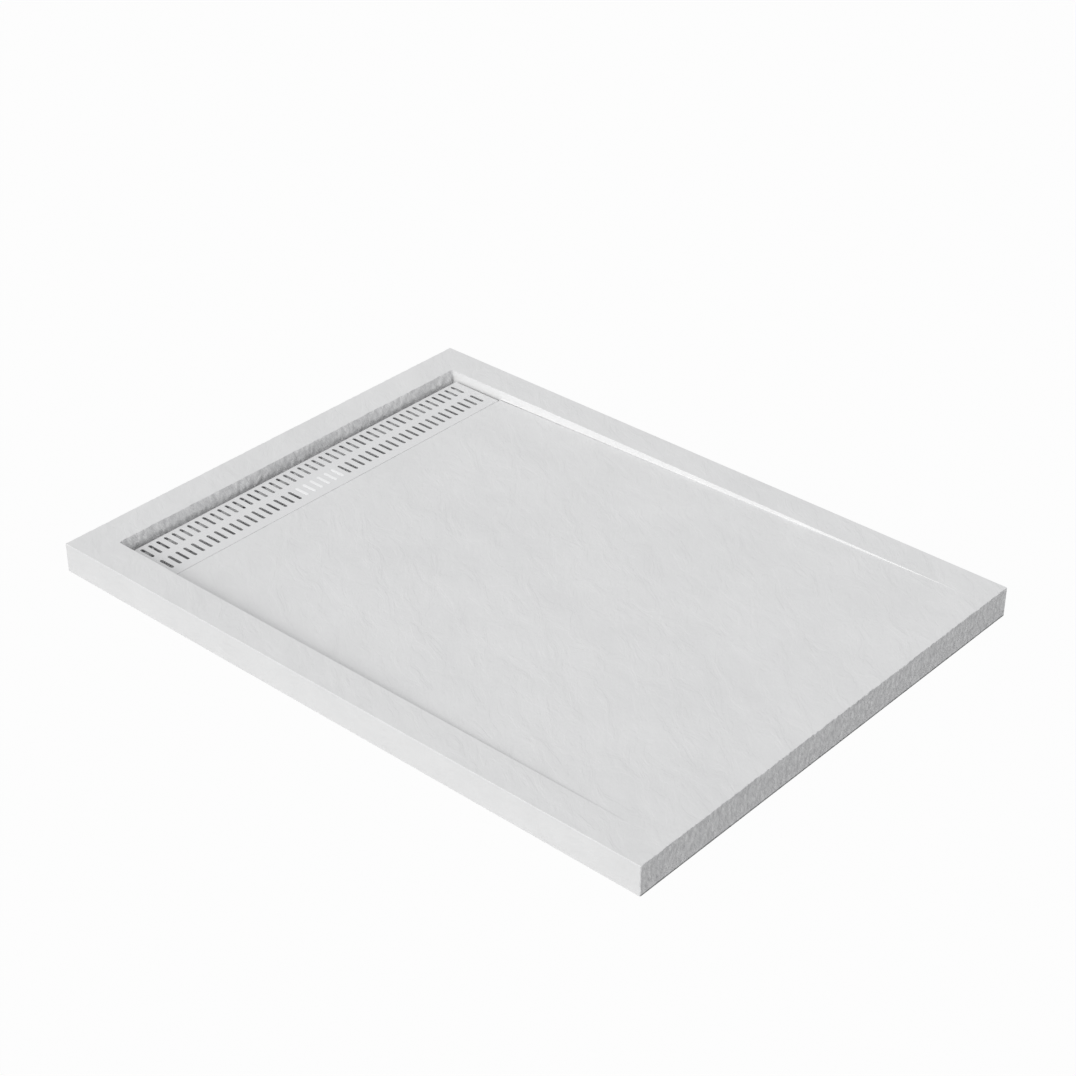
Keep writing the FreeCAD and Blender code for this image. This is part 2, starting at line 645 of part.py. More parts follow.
def hair_strainer():
    rim = TUBE_RIM_RADIUS - BASKET_RIM_INSET
    rim_top = TUBE_RIM_TOP + BASKET_RIM_THICKNESS
    bottom = TUBE_RIM_TOP - BASKET_DEPTH
    basket = turned([
        (0, bottom),
        (BASKET_RADIUS, bottom),
        (BASKET_RADIUS, TUBE_RIM_TOP),
        (rim, TUBE_RIM_TOP),
        (rim, rim_top),
        (BASKET_INNER, rim_top),
        (BASKET_INNER, bottom + BASKET_WALL),
        (0, bottom + BASKET_WALL),
    ])
    through = bottom + BASKET_WALL + PASS
    holes = [post(BASKET_HOLE_RADIUS, bottom - PASS, through, x, y) for x, y in basket_holes()]
    slot_middle = (TUBE_RIM_TOP + bottom) / 2
    half = BASKET_SLOT_HEIGHT / 2
    reach = BASKET_INNER - 2 * BASKET_WALL
    slots = []
    for k in range(BASKET_SLOTS):
        slot = box(
            reach,
            BASKET_RADIUS + PASS,
            -BASKET_SLOT_WIDTH / 2,
            BASKET_SLOT_WIDTH / 2,
            slot_middle - half,
            slot_middle + half,
        )
        slot.rotate(V(0, 0, 0), UP, 360 * (k + 0.5) / BASKET_SLOTS)
        slots.append(slot)
    half_grip = GRIP_WIDTH / 2
    grip_top = TUBE_RIM_TOP + GRIP_HEIGHT
    grip = box(-half_grip, half_grip, -BASKET_RADIUS, BASKET_RADIUS, TUBE_RIM_TOP, grip_top)
    return at_waste(basket.cut(group(holes + slots)).fuse(grip).removeSplitter())


def waste_cap():
    edge_top = CAP_UNDER + CAP_EDGE
    crown = V(0, 0, edge_top + CAP_CROWN)
    rim = V(CAP_RADIUS, 0, edge_top)
    sphere = (CAP_RADIUS ** 2 + CAP_CROWN ** 2) / (2 * CAP_CROWN)
    half_way = CAP_RADIUS / 2
    shoulder = V(half_way, 0, crown.z - sphere + math.sqrt(sphere ** 2 - half_way ** 2))
    outline = Part.Wire([
        Part.LineSegment(V(0, 0, CAP_UNDER), V(CAP_RADIUS, 0, CAP_UNDER)).toShape(),
        Part.LineSegment(V(CAP_RADIUS, 0, CAP_UNDER), rim).toShape(),
        Part.Arc(rim, shoulder, crown).toShape(),
        Part.LineSegment(crown, V(0, 0, CAP_UNDER)).toShape(),
    ])
    dome = Part.Face(outline).revolve(V(0, 0, 0), UP, 360)
    step = DISH_INNER - CAP_LEG_STEP
    inner = step - CAP_TONGUE
    outer = CAP_RADIUS - CAP_LEG_INSET
    tongue = FLANGE_TOP - CAP_LEG_DROP
    overlap = CAP_UNDER + CAP_EDGE / 2
    side = -CAP_LEG_WIDTH / 2
    leg_outline = [
        V(inner, side, tongue),
        V(step, side, tongue),
        V(step, side, FLANGE_TOP),
        V(outer, side, FLANGE_TOP),
        V(outer, side, overlap),
        V(inner, side, overlap),
    ]
    legs = []
    for k in range(CAP_LEGS):
        leg = prism(leg_outline, V(0, CAP_LEG_WIDTH, 0))
        leg.rotate(V(0, 0, 0), UP, 360 * (k + 0.5) / CAP_LEGS)
        legs.append(leg)
    return at_waste(dome.fuse(legs).removeSplitter())


def outlet_seal():
    return along_outlet(ring(SPIGOT_RADIUS, SOCKET_RADIUS, SOCKET_END, NUT_SEAT))


def outlet_nut():
    start = NUT_SEAT - NUT_SLEEVE
    nut = turned([
        (NUT_BORE, start),
        (NUT_RADIUS, start),
        (NUT_RADIUS, NUT_END),
        (PIPE_RADIUS + NUT_PIPE_CLEARANCE, NUT_END),
        (PIPE_RADIUS + NUT_PIPE_CLEARANCE, NUT_SEAT),
        (NUT_BORE, NUT_SEAT),
    ])
    root = NUT_BORE + NUT_WALL / 2
    tip = NUT_RADIUS + NUT_RIB_HEIGHT
    ribs = []
    for k in range(NUT_RIBS):
        rib = box(root, tip, -NUT_RIB_WIDTH / 2, NUT_RIB_WIDTH / 2, start, NUT_END)
        rib.rotate(V(0, 0, 0), UP, 360 * (k + 0.5) / NUT_RIBS)
        ribs.append(rib)
    return along_outlet(nut.fuse(ribs).removeSplitter())


def outlet_pipe():
    inner_end = SOCKET_END - SOCKET_DEPTH
    shoulder = NUT_END + PIPE_SHOULDER_GAP
    outer_end = WASTE.x + TRAY_LENGTH / 2 - PIPE_END_INSET
    return along_outlet(turned([
        (PIPE_BORE, inner_end),
        (SPIGOT_RADIUS, inner_end),
        (SPIGOT_RADIUS, shoulder),
        (PIPE_RADIUS, shoulder),
        (PIPE_RADIUS, outer_end),
        (PIPE_BORE, outer_end),
    ]))


SUBPARTS = (
    tray_slab,
    grate_plate,
    grate_rails,
    grate_ribs,
    grate_studs,
    stud_nuts,
    foot_pads,
    slot_infill,
    waste_cap,
    hair_strainer,
    dip_tube,
    dip_tube_o_ring,
    waste_flange,
    flange_seal,
    flange_screws,
    screw_inserts,
    body_gasket,
    trap_body,
    outlet_seal,
    outlet_nut,
    outlet_pipe,
)

os.makedirs("parts", exist_ok=True)
for make in SUBPARTS:
    shape = make()
    shape.exportStep(os.path.join("parts", make.__name__ + ".step"))
    volume = sum(s.Volume for s in shape.Solids)
    print(f"{make.__name__}: {len(shape.Solids)} solids, {volume / 1000:.2f} cm3, valid {shape.isValid()}")
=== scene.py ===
# %% [markdown]
# # A stone-resin shower tray with a slotted drain cover
#
# The tray is one heavy casting, 1200 x 900 x 52 mm. Its floor falls gently to a channel at one
# end, a white metal cover with slots lies over the channel, and a waste trap hangs below it.
# All solids come from the packed model, which fixes every size and place. This script adds
# what the solids don't have: the slate relief of the mould, the slate's broken edges, small
# rounds on the edges of many other pieces, surface finishes, light and a camera.

import json
import math

import bmesh
import bpy
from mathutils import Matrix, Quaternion, Vector, noise


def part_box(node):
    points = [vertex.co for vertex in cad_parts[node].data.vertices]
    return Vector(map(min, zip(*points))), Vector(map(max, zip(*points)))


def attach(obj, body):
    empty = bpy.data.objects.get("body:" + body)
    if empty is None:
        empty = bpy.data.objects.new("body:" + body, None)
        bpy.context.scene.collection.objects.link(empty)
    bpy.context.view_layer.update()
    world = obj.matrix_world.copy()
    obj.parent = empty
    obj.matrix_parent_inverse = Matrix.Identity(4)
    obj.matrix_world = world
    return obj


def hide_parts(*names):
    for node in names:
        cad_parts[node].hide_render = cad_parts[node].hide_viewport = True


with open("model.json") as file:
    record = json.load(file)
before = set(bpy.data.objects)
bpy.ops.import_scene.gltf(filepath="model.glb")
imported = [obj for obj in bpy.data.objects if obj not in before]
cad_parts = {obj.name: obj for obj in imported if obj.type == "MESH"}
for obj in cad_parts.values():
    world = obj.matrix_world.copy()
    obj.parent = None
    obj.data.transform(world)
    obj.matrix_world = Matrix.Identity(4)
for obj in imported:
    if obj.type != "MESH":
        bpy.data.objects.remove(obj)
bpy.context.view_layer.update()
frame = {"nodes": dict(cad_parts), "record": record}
MM = 0.001


# %% [markdown]
# ## The camera
#
# A camera is fixed by where it stands, where it looks and its lens. The tray's corners and
# parallel edges gave all three. The view comes from in front of one corner, about a third of
# a right angle above the floor, with a long lens, so that far edges shrink only a little.

# %% Placing the camera
VIEW_AZIMUTH = math.radians(41.554)
VIEW_ELEVATION = math.radians(32.408)
VIEW_ROLL = math.radians(0.12)
CAMERA_PLACE = Vector((2.1386, -2.3936, 2.1407))
LENS_MM = 80.78
SENSOR_MM = 36

towards_camera = Vector(
    (
        math.sin(VIEW_AZIMUTH) * math.cos(VIEW_ELEVATION),
        -math.cos(VIEW_AZIMUTH) * math.cos(VIEW_ELEVATION),
        math.sin(VIEW_ELEVATION),
    )
)
camera_data = bpy.data.cameras.new("camera")
camera_data.lens = LENS_MM
camera_data.sensor_width = SENSOR_MM
camera = bpy.data.objects.new("camera", camera_data)
camera.rotation_mode = "QUATERNION"
roll = Quaternion(towards_camera, VIEW_ROLL)
camera.rotation_quaternion = roll @ (-towards_camera).to_track_quat("-Z", "Y")
camera.location = CAMERA_PLACE
bpy.context.scene.collection.objects.link(camera)
bpy.context.scene.camera = camera
bpy.context.scene.view_settings.view_transform = "Standard"
print("camera at", tuple(camera.location), "with a lens of", camera_data.lens, "mm")

# %% [markdown]
# ## Shader maths as plain expressions
#
# A procedural material is a chain of small nodes, and most of them add or multiply. A class
# that wraps one socket lets the chain be written as Python expressions. Numbers and sockets
# mix freely, so `1 - mask` works too. Every other node comes from one method, which takes
# the node's type, its settings and what goes into its sockets.

# %% A socket with operators


class Wire:
    """One output socket of a material's nodes."""

    def __init__(self, tree, socket=None):
        self.tree = tree
        self.socket = socket

    def node(self, kind, settings, inputs, output=0):
        """A new node: its settings first, then values or wires for its sockets."""
        made = self.tree.nodes.new(kind)
        for name, value in settings.items():
            if name == "stops":
                set_stops(made.color_ramp, value)
            else:
                setattr(made, name, value)
        for name, value in inputs.items():
            if isinstance(value, Wire):
                self.tree.links.new(value.socket, made.inputs[name])
            else:
                made.inputs[name].default_value = value
        return Wire(self.tree, made.outputs[output] if made.outputs else None)

    def maths(self, operation, *terms):
        return self.node("ShaderNodeMath", {"operation": operation}, dict(enumerate(terms)))

    def __add__(self, other):
        return self.maths("ADD", self, other)

    def __radd__(self, other):
        return self.maths("ADD", other, self)

    def __sub__(self, other):
        return self.maths("SUBTRACT", self, other)

    def __rsub__(self, other):
        return self.maths("SUBTRACT", other, self)

    def __mul__(self, other):
        return self.maths("MULTIPLY", self, other)

    def __rmul__(self, other):
        return self.maths("MULTIPLY", other, self)


def set_stops(ramp, stops):
    """Places a colour ramp's stops, given as pairs of position and grey level."""
    anywhere = 0.5              # each new stop moves to its own place below
    while len(ramp.elements) < len(stops):
        ramp.elements.new(anywhere)
    for element, (position, level) in zip(ramp.elements, stops):
        element.position = position
        element.color = (level, level, level, 1)


print("operators ready:", [name for name in vars(Wire) if name.endswith(("add__", "sub__", "mul__"))])

# %% [markdown]
# ## What the finishes share
#
# All finishes take the same few steps, so each step has a helper. The first two start a
# material with its object coordinates and stretch those coordinates, so that a noise becomes
# grain along a direction. A picture wrapped round the piece could give grain too, but it
# needs an unwrapped mesh and shows seams. Object coordinates need neither, and they stay with
# the piece, because every piece's object sits at the origin of the tray.

# %% Starting a material and stretching its coordinates


def start_material(name):
    """A new empty material, its Principled shader and a wire with object coordinates."""
    material = bpy.data.materials.new(name)
    material.use_nodes = True
    tree = material.node_tree
    shader = tree.nodes["Principled BSDF"]
    start = Wire(tree)
    place = start.node("ShaderNodeTexCoord", {}, {}, "Object")
    return material, shader, place


def stretched(place, scale, turn=(0, 0, 0)):
    """Coordinates turned by `turn` and then multiplied by `scale`, in patterns per metre."""
    mapping = {"Vector": place, "Rotation": turn}
    turned = place.node("ShaderNodeMapping", {"vector_type": "TEXTURE"}, mapping)
    return place.node("ShaderNodeVectorMath", {"operation": "MULTIPLY"}, {0: turned, 1: scale})


def even(place, scale):
    """Coordinates with the same number of patterns per metre in every direction."""
    return stretched(place, (scale, scale, scale))


print("a new material starts with object coordinates, one unit to the metre")

# %% [markdown]
# The other helpers make soft noise, take a number or a colour from between two others, add a
# bump and fill the shader's sockets.

# %% Noise, blends, bumps and sockets


def cloudy(place, detail=3.0, roughness=0.5, distortion=0.0):
    """Soft noise between 0 and 1, one cloud per unit of `place`."""
    sockets = {
        "Vector": place,
        "Scale": 1.0,
        "Detail": detail,
        "Roughness": roughness,
        "Distortion": distortion,
    }
    return place.node("ShaderNodeTexNoise", {"noise_dimensions": "3D"}, sockets, "Fac")


def between(factor, low, high):
    """A number that is `low` where the factor is 0 and `high` where it is 1."""
    return low + factor * (high - low)


def blend(factor, dark, light):
    """A colour between two others."""
    sockets = {0: factor, 6: (*dark, 1), 7: (*light, 1)}
    return factor.node("ShaderNodeMix", {"data_type": "RGBA"}, sockets, 2)


def relief(height, distance, strength=1.0, below=None):
    """A bump of the given height in metres, on top of another bump if there is one."""
    sockets = {"Height": height, "Distance": distance, "Strength": strength}
    if below:
        sockets["Normal"] = below
    return height.node("ShaderNodeBump", {}, sockets)


def wire_up(shader, **sockets):
    """Links wires to the shader's sockets and sets plain numbers on the sockets themselves."""
    for name, value in sockets.items():
        socket = shader.inputs[name.replace("_", " ").title().replace("Ior", "IOR")]
        if isinstance(value, Wire):
            value.tree.links.new(value.socket, socket)
        else:
            socket.default_value = value


print("helpers ready for noise, numbers, colours, bumps and sockets")

# %% [markdown]
# ## The gel coat
#
# Stone resin is mineral powder and resin cast in a mould. The mould is taken from split
# slate, so the white gel coat on the tray repeats the slate: faint low steps that run
# slanting over the floor, and a fine grain. The steps are too shallow to model, so they are
# bump, made from a noise stretched along the slate's own direction. A ramp with steep and
# level stretches turns the soft noise into ledges. The colour hardly varies.

# %% Gel coat material
SLATE_TURN = (0, 0, math.radians(-35))
SLATE_LEDGES = (
    (0.30, 0.0),
    (0.42, 0.30),
    (0.47, 0.34),
    (0.50, 0.55),
    (0.57, 0.62),
    (0.60, 0.85),
    (0.75, 1.0),
)
LEDGE_HEIGHT = 0.7 * MM
FLAKE_WEIGHT = 0.5          # the small flakes' height beside the ledges'
GRAIN_HEIGHT = 0.08 * MM
STAIN_SHARE = 0.88          # of the colour's change, the rest comes from the grain
GEL_DARK = (0.71, 0.71, 0.71)
GEL_LIGHT = (0.85, 0.849, 0.847)


def gel_coat():
    """White gel coat with the slate's ledges, flakes and fine grain."""
    material, shader, place = start_material("gel_coat")
    steps = cloudy(stretched(place, (13, 27, 20), SLATE_TURN), detail=4.0, distortion=0.8)
    flakes = cloudy(stretched(place, (36, 72, 60), SLATE_TURN), roughness=0.55, distortion=1.5)
    grain = cloudy(stretched(place, (300, 420, 300)), detail=4.0, roughness=0.65)
    stain = cloudy(stretched(place, (7, 11, 9), SLATE_TURN), detail=5.0, roughness=0.7)
    ledges = steps.node("ShaderNodeValToRGB", {"stops": SLATE_LEDGES}, {"Fac": steps})
    coarse = relief(ledges + flakes * FLAKE_WEIGHT, LEDGE_HEIGHT)
    wire_up(
        shader,
        base_color=blend(stain * STAIN_SHARE + grain * (1 - STAIN_SHARE), GEL_DARK, GEL_LIGHT),
        roughness=between(grain, 0.46, 0.64),
        normal=relief(grain, GRAIN_HEIGHT, strength=0.6, below=coarse),
        specular_ior_level=0.4,
    )
    return material


print("gel coat with", len(SLATE_LEDGES), "stops in its ramp of ledges")

# %% [markdown]
# The short faces look like slate broken across its layers: upright flakes, chalky and duller
# than the gel coat. Their larger flakes are modelled below, and each point of the mesh then
# remembers how deep it lies. The finish reads that depth and paints a little shade into the
# hollows, and adds what is too small to model.

# %% Broken edge material
STROKE_TURN = (math.radians(20), 0, 0)
STROKE_WEIGHT = 1.9
PATCH_WEIGHT = 0.5
# painted shade: how much lighter the flakes' ridges are painted than their deepest hollows
HOLLOW_SHADE_WEIGHT = 0.45
DARKENING = 0.82            # taken off the sum of the three, so that it stays around one half
CHIP_HEIGHT = 1.6 * MM
PIT_WEIGHT = 0.3            # the pits' height beside the strokes'
CHALK_DARK = (0.57, 0.57, 0.578)
CHALK_LIGHT = (0.87, 0.87, 0.87)


def broken_edge():
    """Chalky broken slate: narrow upright strokes, small pits, slow patches and painted shade in the
    hollows.
    """
    material, shader, place = start_material("broken_edge")
    depth = place.node("ShaderNodeAttribute", {"attribute_name": "depth"}, {}, "Fac")
    strokes = cloudy(stretched(place, (90, 380, 130), STROKE_TURN), roughness=0.6, distortion=1.0)
    pits = cloudy(stretched(place, (240, 420, 300)), roughness=0.6)
    patches = cloudy(stretched(place, (30, 55, 80)), roughness=0.6)
    # painted shade: the deeper a point lies in the flakes, the darker its colour
    painted_ridge_light = 1 - depth
    lightness = strokes * STROKE_WEIGHT + patches * PATCH_WEIGHT + painted_ridge_light * HOLLOW_SHADE_WEIGHT - DARKENING
    wire_up(
        shader,
        base_color=blend(lightness, CHALK_DARK, CHALK_LIGHT),
        roughness=between(pits, 0.6, 0.8),
        normal=relief(strokes + pits * PIT_WEIGHT, CHIP_HEIGHT),
        specular_ior_level=0.3,
    )
    return material


print("broken edge with a bump of", CHIP_HEIGHT / MM, "mm")

# %% [markdown]
# The underside is never seen once the tray is bedded. It has no gel coat: it is the bare
# filled resin, poured and levelled by hand, so it is greyer, rougher and lightly speckled.
# Two bumps on top of each other give it the pores and the slow sweeps of the levelling.

# %% Bare resin material
SWEEP_TURN = (0, 0, math.radians(12))
SWEEP_HEIGHT = 1.6 * MM
PORE_HEIGHT = 0.6 * MM
RESIN_DARK = (0.47, 0.465, 0.45)
RESIN_LIGHT = (0.66, 0.655, 0.64)


def bare_resin():
    """Filled resin with specks, pores and the sweeps of the levelling."""
    material, shader, place = start_material("bare_resin")
    speckle = cloudy(even(place, 700), detail=2.0, roughness=0.7)
    sweep = cloudy(stretched(place, (14, 5, 14), SWEEP_TURN), detail=4.0, roughness=0.6, distortion=1.2)
    pores = cloudy(even(place, 160), roughness=0.6)
    sweeps = relief(sweep, SWEEP_HEIGHT, strength=0.5)
    wire_up(
        shader,
        base_color=blend((speckle + sweep) * 0.5, RESIN_DARK, RESIN_LIGHT),
        roughness=between(pores, 0.72, 0.92),
        normal=relief(pores, PORE_HEIGHT, strength=0.5, below=sweeps),
    )
    return material


print("bare resin with sweeps of", SWEEP_HEIGHT / MM, "mm and pores of", PORE_HEIGHT / MM, "mm")

# %% [markdown]
# ## The tray's body
#
# The two short faces and the wall behind the cover are not smooth. They follow the broken
# edge of the slate: slanting flakes a few millimetres wide, up to two millimetres deep. Bump
# can't break the edge line, so these faces get real relief. A copy of the solid is merged,
# its flat faces are joined, and planes cut the rough faces into small cells. Then each
# corner of a cell moves inwards by a noise that is stretched upwards. The outer faces keep a
# straight foot. The wall behind the cover also leans back, so its foot stands a few
# millimetres in front of its top.

# %% Taking a copy of a solid
MERGE_WITHIN = 0.001 * MM


def solid_copy(node, flat=0.4):
    """A merged copy of one CAD node's mesh, with faces joined that meet within `flat` degrees."""
    made = bmesh.new()
    made.from_mesh(frame["nodes"][node].data)
    bmesh.ops.remove_doubles(made, verts=made.verts, dist=MERGE_WITHIN)
    bmesh.ops.dissolve_limit(made, angle_limit=math.radians(flat), verts=made.verts, edges=made.edges)
    return made


slab = solid_copy("tray_slab")
depth_layer = slab.verts.layers.float.new("depth")
print("the slab's copy has", len(slab.faces), "faces before any cut")

# %% [markdown]
# Only the rough faces are cut into cells, so that the rest of the slab stays light. They are
# known by where they lie and which way they face.

# %% Finding the rough faces
slab_low, slab_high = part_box("tray_slab")
plate_low, plate_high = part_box("grate_plate")
RIM_LEAST = 30 * MM         # the rim at the drain end is wider than this
END_BAND = 2.2 * MM         # the outer faces and their rounded top edges lie this near the ends
END_NORMAL = 0.05           # their normals point at least this much along X
WALL_NORMAL = 0.2           # and the wall's normal at least this much
LOOKS_DOWN = -0.5           # a normal with a Z part below this looks down
SEAT_TOP = 12 * MM          # upright faces below this height belong to the waste's seat


def is_rough(face):
    """The short outer faces, their rounded top edges and the wall behind the cover."""
    middle = face.calc_center_median()
    near_end = abs(middle.x) > slab_high.x - END_BAND
    on_outer_face = near_end and abs(face.normal.x) > END_NORMAL and face.normal.z > LOOKS_DOWN
    behind_cover = slab_low.x + RIM_LEAST < middle.x < plate_low.x
    on_wall = behind_cover and face.normal.x > WALL_NORMAL and middle.z > SEAT_TOP
    return on_outer_face or on_wall


print("rough faces:", sum(is_rough(face) for face in slab.faces))

# %% [markdown]
# Upright planes across the tray and level planes cut these faces. Each plane cuts what the
# planes before it left, and the operator hands the pieces on.

# %% Cutting the rough faces into cells
CELL_ACROSS = 2.0 * MM
CELL_UP = 3.25 * MM
CUT_WITHIN = 1e-7
ACROSS = Vector((0, 1, 0))
UP = Vector((0, 0, 1))


def cut_into_cells(made):
    """Cuts the rough faces by upright planes across the tray and by level planes."""
    columns = int((slab_high.y - slab_low.y) / CELL_ACROSS)
    levels = int(slab_high.z / CELL_UP)
    cuts = [(Vector((0, slab_low.y + CELL_ACROSS * n, 0)), ACROSS) for n in range(1, columns)]
    cuts += [(Vector((0, 0, CELL_UP * n)), UP) for n in range(1, levels)]
    geometry = {f for f in made.faces if is_rough(f)}
    geometry |= {e for f in geometry for e in f.edges}
    geometry |= {v for e in geometry if isinstance(e, bmesh.types.BMEdge) for v in e.verts}
    for centre, direction in cuts:
        done = bmesh.ops.bisect_plane(
            made, geom=list(geometry), dist=CUT_WITHIN, plane_co=centre, plane_no=direction
        )
        geometry = done["geom"]
    return [v for v in geometry if isinstance(v, bmesh.types.BMVert)]


rough_points = cut_into_cells(slab)
print("the slab has", len(slab.faces), "faces, with", len(rough_points), "corners on its rough faces")

# %% [markdown]
# The slab wears three finishes. Each face holds the number of its finish in the list that the
# piece gets below, so the faces are told apart while they are still flat.

# %% Telling the slab's faces apart
GEL_COAT, BARE_RESIN, BROKEN_EDGE = range(3)
UNDERSIDE_BAND = 2 * MM     # faces that look down below this height are the underside

for face in slab.faces:
    if is_rough(face):
        face.material_index = BROKEN_EDGE
    elif face.normal.z < LOOKS_DOWN and face.calc_center_median().z < UNDERSIDE_BAND:
        face.material_index = BARE_RESIN
    else:
        face.material_index = GEL_COAT
counts = [sum(f.material_index == finish for f in slab.faces) for finish in range(3)]
print("faces with gel coat, bare resin and broken edge:", counts)

# %% [markdown]
# One noise gives the flakes. A finer copy of it, folded at zero, cuts creases into them, and
# a finer one still chips them. A slow noise moves the pattern sideways as it rises, so the
# flakes slant to one side here and to the other there.

# %% How deep the flakes lie
FLAKE_WIDTH = 5.5 * MM      # on the short outer faces
WALL_FLAKE_WIDTH = 9 * MM   # on the wall behind the cover
FLAKE_HEIGHT = 11 * MM
FLAKE_DEPTH = 2.0 * MM
FLAKE_SLANT = 1.4           # in flakes, how far they lean to one side or the other
SLANT_WIDTH = 90 * MM       # along a face, the slant changes over this length
SLANT_HEIGHT = 35 * MM      # and over this height
SLANT_SHIFT = 3             # per metre along X, so that each face has a slant of its own
FLAKE_SHIFT = 7             # and flakes of its own
CREASE_FINENESS = 1.7
CREASE_PLACE = Vector((9, 4, 2))
CHIP_FINENESS = 3.1
EVEN_DEPTH = 0.5            # where all three noises are zero
FLAKE_PART = 0.75
CREASE_PART = 0.3
CHIP_PART = 0.2


def share(value):
    """A value kept between 0 and 1."""
    return min(1, max(0, value))


def flake_depth(point, width):
    """How far the slate's broken edge lies behind the flat face, from 0 to 1."""
    region = Vector((point.y / SLANT_WIDTH, point.z / SLANT_HEIGHT, point.x * SLANT_SHIFT))
    lean = FLAKE_SLANT * noise.noise(region)
    place = Vector((point.y / width + lean, point.z / FLAKE_HEIGHT, point.x * FLAKE_SHIFT))
    flakes = noise.noise(place)
    creases = abs(noise.noise(place * CREASE_FINENESS + CREASE_PLACE))
    chips = noise.noise(place * CHIP_FINENESS)
    return share(EVEN_DEPTH + FLAKE_PART * flakes - CREASE_PART * creases + CHIP_PART * chips)


print("flakes", FLAKE_WIDTH / MM, "mm wide, behind the cover", WALL_FLAKE_WIDTH / MM, "mm")

# %% [markdown]
# The flakes only go inwards, so the tray keeps its size. On the outer faces they run out to
# the straight foot. The wall behind the cover also gets its lean, which brings its foot
# forward into the channel.

# %% How far a point moves
OUTER_BAND = 5 * MM         # points this near to an end lie on an outer face
FOOT_FADE = 7 * MM          # the outer faces' flakes run out to a straight foot over this height
HEAD_FADE = 4 * MM          # and get shallower towards the top edge over this height,
HEAD_SHARE = 0.65           # where this share of their depth is left
WALL_LEAN = 4 * MM          # the wall's foot in front of its top, so that the casting leaves the mould
SEAT_LEAN = 2 * MM          # but only this much beside the waste, whose flange needs the room
SEAT_HALF = 62 * MM         # half the length of the waste's seat along the wall


def is_outer(point):
    """Whether a point lies on one of the short outer faces."""
    return abs(point.co.x) > slab_high.x - OUTER_BAND


def outer_move(point, depth):
    """How far a point on a short outer face moves along X, towards the middle of the tray."""
    foot = share((point.co.z - slab_low.z) / FOOT_FADE)
    head = share(HEAD_SHARE + (1 - HEAD_SHARE) * (slab_high.z - point.co.z) / HEAD_FADE)
    return -math.copysign(depth * FLAKE_DEPTH * foot * head, point.co.x)


def wall_move(point, depth):
    """How far a point on the wall behind the cover moves along X, with the wall's lean."""
    fallen = share((slab_high.z - point.co.z) / (slab_high.z - plate_high.z))
    aside = share((abs(point.co.y) - SEAT_HALF) / SEAT_HALF)
    lean = SEAT_LEAN + (WALL_LEAN - SEAT_LEAN) * aside
    return lean * fallen - depth * FLAKE_DEPTH


print("flakes up to", FLAKE_DEPTH / MM, "mm deep, on a wall that leans by up to", WALL_LEAN / MM, "mm")

# %% [markdown]
# Everything runs out towards the upright corners, where a moved point would fold the narrow
# faces of the corner. Each point keeps its depth, which the finish reads.

# %% Pushing the cells in
CORNER_FADE = 5 * MM        # the flakes run out over this length towards the upright corners
CORNER_REST = 1 * MM        # and the corners themselves stay as they are


def push_in(points, layer):
    """Moves the points along X and keeps each one's depth on the mesh."""
    wall_end = max(abs(p.co.y) for p in points if not is_outer(p))
    for point in points:
        outer = is_outer(point)
        depth = flake_depth(point.co, FLAKE_WIDTH if outer else WALL_FLAKE_WIDTH)
        point[layer] = depth
        end = (slab_high.y if outer else wall_end) - CORNER_REST
        fade = share((end - abs(point.co.y)) / CORNER_FADE)
        move = outer_move(point, depth) if outer else wall_move(point, depth)
        point.co.x += move * fade
    depths = sorted(point[layer] for point in points)
    return depths[len(depths) // 2]


middle_depth = push_in(rough_points, depth_layer)
print("half of the corners lie deeper than", round(middle_depth * FLAKE_DEPTH / MM, 2), "mm")

# %% [markdown]
# Every piece is finished in the same way. Its mesh becomes an object, which is told what it
# moves with and which solid it stands for. Its shading is smooth and stops at sharp edges,
# and large faces decide it, so that flat faces stay flat beside their rounds.

# %% The finished slab
FACE_AREA_WEIGHT = 100      # the most that a large face can count for a point's normal


def add_piece(made, name, body, slot, *nodes):
    """Turns a bmesh into a piece that rides on a body and stands for the named nodes."""
    mesh = bpy.data.meshes.new(name)
    made.to_mesh(mesh)
    made.free()
    piece = bpy.data.objects.new(name, mesh)
    bpy.context.scene.collection.objects.link(piece)
    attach(piece, body)
    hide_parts(*nodes)
    print(name, "has", len(mesh.polygons), "faces")
    return piece


def smooth_over(piece, angle=40):
    """Smooth shading that stops at edges sharper than `angle` degrees."""
    mesh = piece.data
    mesh.shade_smooth()
    mesh.set_sharp_from_angle(angle=math.radians(angle))
    weighted = piece.modifiers.new("even_shading", "WEIGHTED_NORMAL")
    weighted.keep_sharp = True
    weighted.weight = FACE_AREA_WEIGHT


tray = add_piece(slab, "tray_body", "tray", "stone_resin", "tray_slab")
for finish in (gel_coat(), bare_resin(), broken_edge()):
    tray.data.materials.append(finish)
smooth_over(tray)
print("finishes on the slab:", [finish.name for finish in tray.data.materials])

# %% [markdown]
# ## Lacquer and white plastics
#
# The cover is steel with a satin white lacquer, which lies on it with the faintest orange
# peel. A coat over a base would make a stronger gloss than satin has, so one layer with a
# fine bump does it.

# %% Lacquer
PEEL_HEIGHT = 0.06 * MM
LACQUER_DARK = (0.765, 0.765, 0.768)
LACQUER_LIGHT = (0.79, 0.79, 0.79)


def lacquer():
    """Satin lacquer with a fine orange peel."""
    material, shader, place = start_material("satin_lacquer")
    peel = cloudy(even(place, 420), detail=2.0)
    drift = cloudy(even(place, 16), detail=2.0)
    wire_up(
        shader,
        base_color=blend(drift, LACQUER_DARK, LACQUER_LIGHT),
        roughness=between(drift, 0.36, 0.44),
        normal=relief(peel, PEEL_HEIGHT, strength=0.5),
    )
    return material


white_lacquer = lacquer()
print("lacquer with an orange peel of", PEEL_HEIGHT / MM, "mm")
